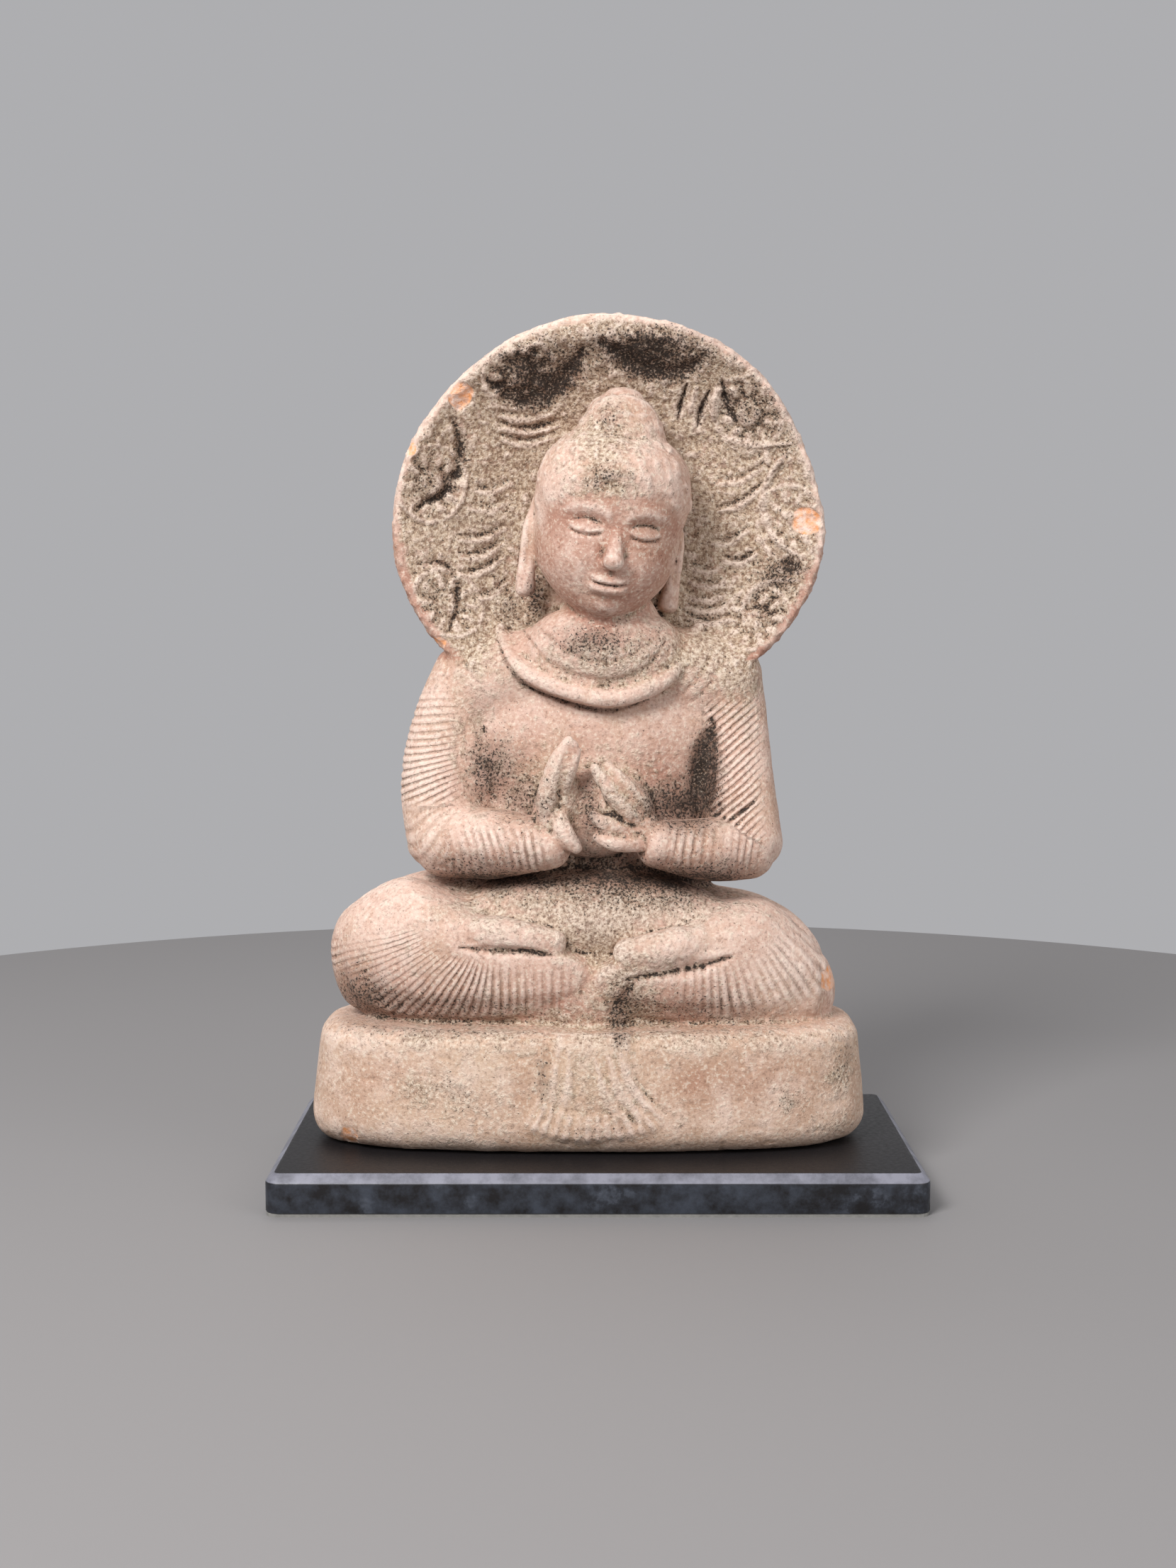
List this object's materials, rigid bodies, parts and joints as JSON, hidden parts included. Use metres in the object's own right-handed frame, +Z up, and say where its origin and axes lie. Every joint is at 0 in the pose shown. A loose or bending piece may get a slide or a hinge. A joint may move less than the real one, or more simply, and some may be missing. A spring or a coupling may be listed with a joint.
{
  "type": "terracotta buddha statue",
  "caption": "Seated terracotta figure with hands before the breast and a dished halo of lotus discs behind the head, on its own clay plinth and a black display plate.",
  "frame": {"origin": "middle of the underside, where the piece rests on a shelf", "axes": "+Z up; X across the figure, +X to the viewer's right; the figure faces -Y"},
  "size_m": [0.155, 0.08, 0.2111],
  "materials": {
    "terracotta": "dry fired clay, pink to orange tan, with a cream and grey earth crust and black specks in its hollows",
    "blackened_plate": "blackened steel, satin, mottled slate blue on its edge faces and worn paler along the chamfer",
    "pale_sheet": "thin pale non-slip sheet, dull"
  },
  "bodies": {
    "root": {"terracotta_figure": "terracotta", "display_plate": "blackened_plate", "backing_sheet": "pale_sheet"}
  },
  "joints": []
}
